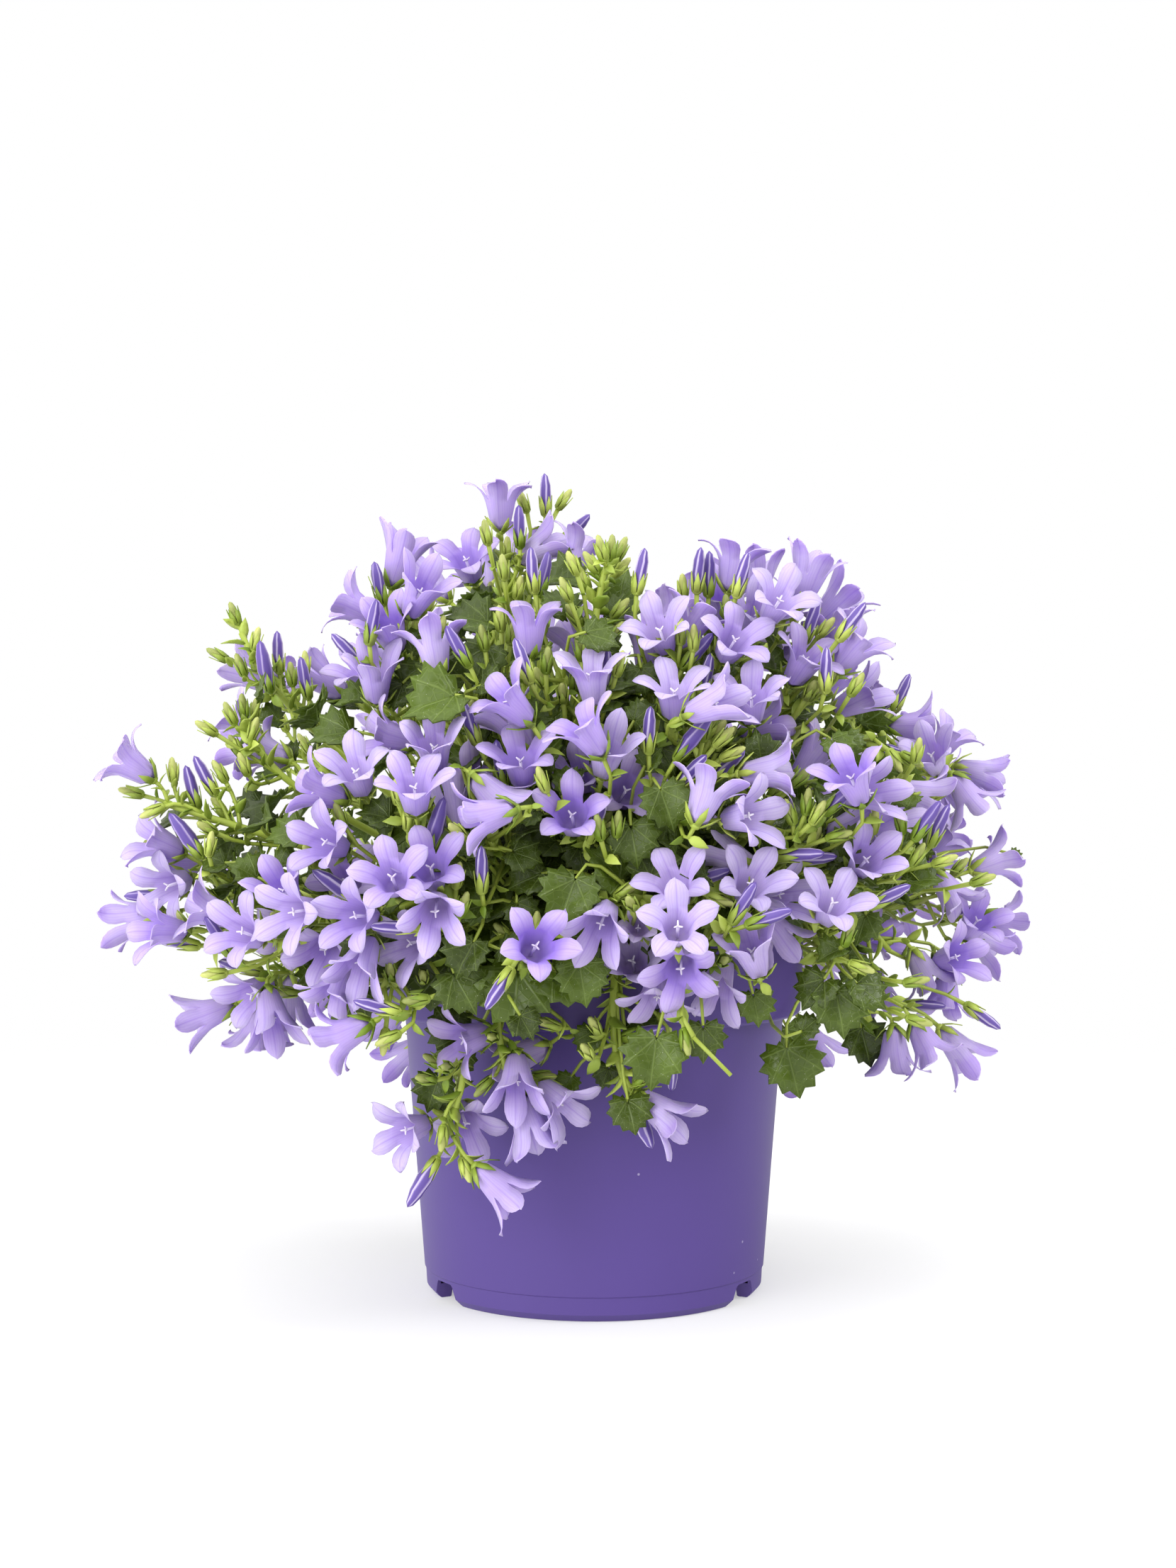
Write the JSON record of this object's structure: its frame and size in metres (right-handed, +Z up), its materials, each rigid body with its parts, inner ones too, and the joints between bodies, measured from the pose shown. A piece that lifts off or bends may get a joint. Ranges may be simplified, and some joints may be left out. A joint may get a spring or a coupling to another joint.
{
  "type": "potted dalmatian bellflower",
  "caption": "Flowering bellflower plant: a mound of leafy stems with five-lobed lavender blooms and buds, standing in soil in a purple tapered nursery pot.",
  "frame": {"origin": "on the ground under the middle of the pot", "axes": "+Z up along the pot's axis, -Y towards the side seen in the picture, +X to the right of that view"},
  "size_m": [0.2918, 0.2592, 0.2511],
  "materials": {
    "pot": "satin",
    "soil": "matte",
    "petals": "matte",
    "foliage": "satin"
  },
  "bodies": {
    "root": {"pot": "pot", "soil": "soil", "back_stem_01": "petals", "back_stem_02": "petals", "back_stem_03": "petals", "back_stem_04": "petals", "back_stem_05": "petals", "back_stem_06": "petals", "back_stem_07": "petals", "back_stem_08": "petals", "back_stem_09": "petals", "back_stem_10": "petals", "back_stem_11": "petals", "back_stem_12": "petals", "back_stem_13": "petals", "back_stem_14": "petals", "back_stem_15": "petals", "centre": "petals", "centre_bells": "petals", "centre_right_star": "petals", "centre_star": "petals", "centre_trail": "petals", "far_left_arm": "petals", "far_right": "petals", "front_centre": "petals", "front_left_star": "petals", "front_right": "petals", "front_trail": "petals", "inner_left": "petals", "left_bud_spike": "foliage", "left_cluster": "petals", "left_front": "petals", "left_low_spike": "foliage", "left_of_centre": "petals", "left_of_pot": "petals", "left_row": "petals", "left_shoulder": "petals", "left_trail": "petals", "lower_left": "petals", "lower_right": "petals", "right_bells": "petals", "right_dome": "petals", "right_dome_edge": "petals", "right_edge": "petals", "right_middle": "petals", "right_of_centre": "petals", "right_of_pot": "petals", "right_row": "petals", "right_shoulder": "petals", "right_upper_edge": "petals", "top": "petals", "upper_centre_left": "petals", "upper_left": "petals", "upper_left_leaves": "foliage", "upright": "foliage"}
  },
  "joints": []
}
